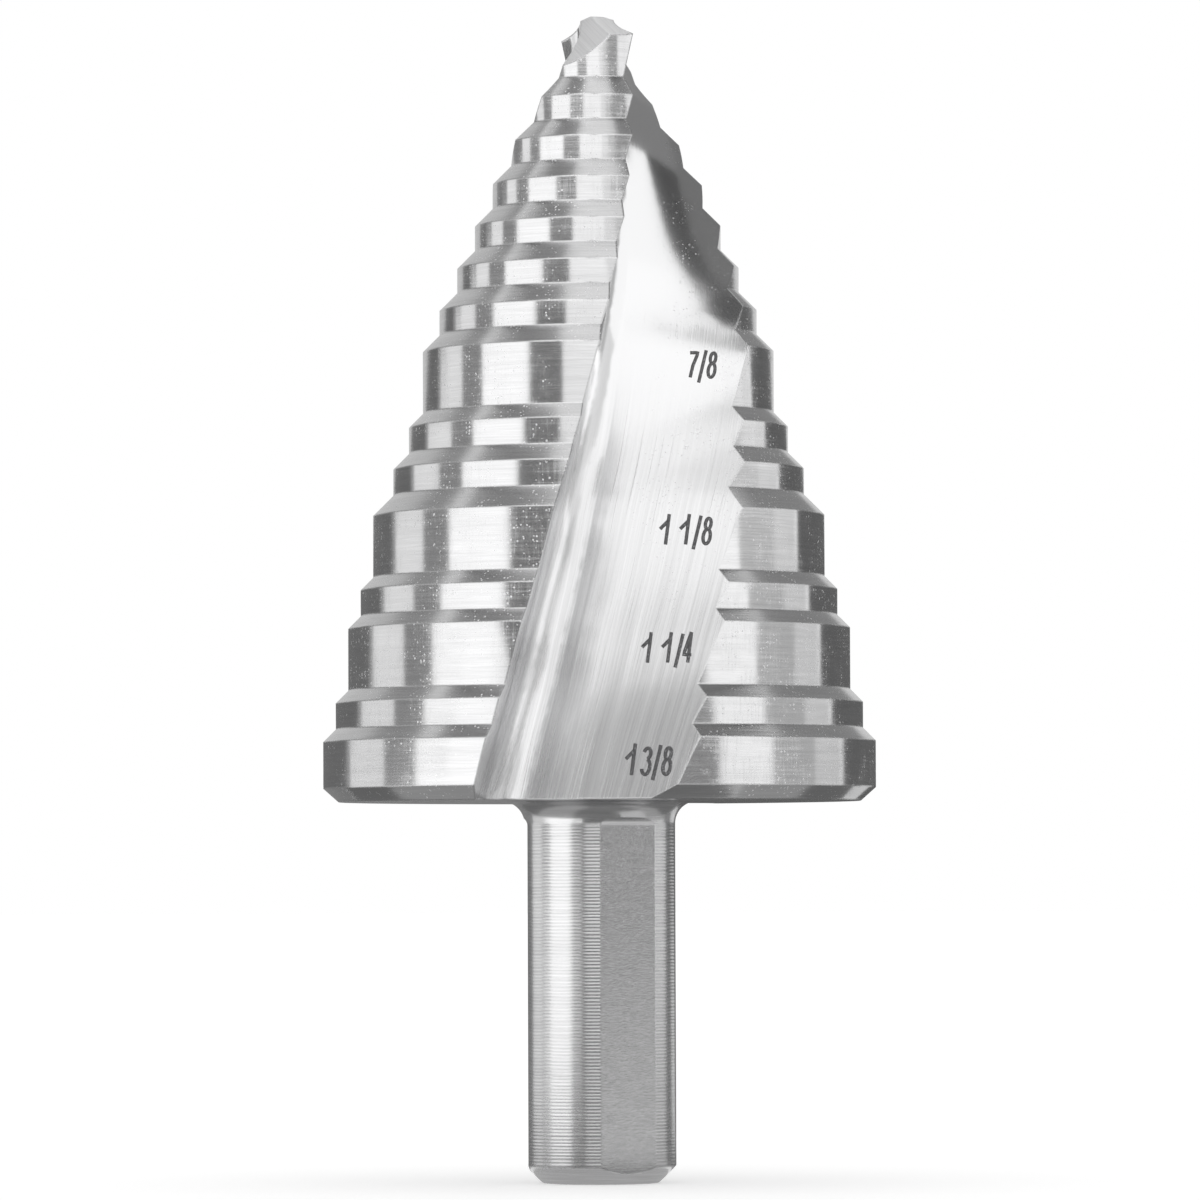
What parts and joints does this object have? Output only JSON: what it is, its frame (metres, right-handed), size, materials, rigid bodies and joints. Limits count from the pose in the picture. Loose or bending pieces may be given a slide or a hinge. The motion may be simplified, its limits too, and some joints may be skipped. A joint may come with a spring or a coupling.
{
  "type": "step drill",
  "caption": "Fluted step drill with a split point, stepped cone, right-hand helical flutes and a round shank with driving flats.",
  "frame": {"origin": "centre of the shank's flat end face, on the drill's axis", "axes": "+Z along the drill's axis from the shank to the point; -Y is the front, where the picture shows one flute; +X is to the right in that view"},
  "size_m": [0.035, 0.0336, 0.0739],
  "materials": {
    "ground_steel": "bright ground high-speed steel with fine turning rings and grinding lines"
  },
  "bodies": {
    "root": {"step_drill": "ground_steel"}
  },
  "joints": []
}
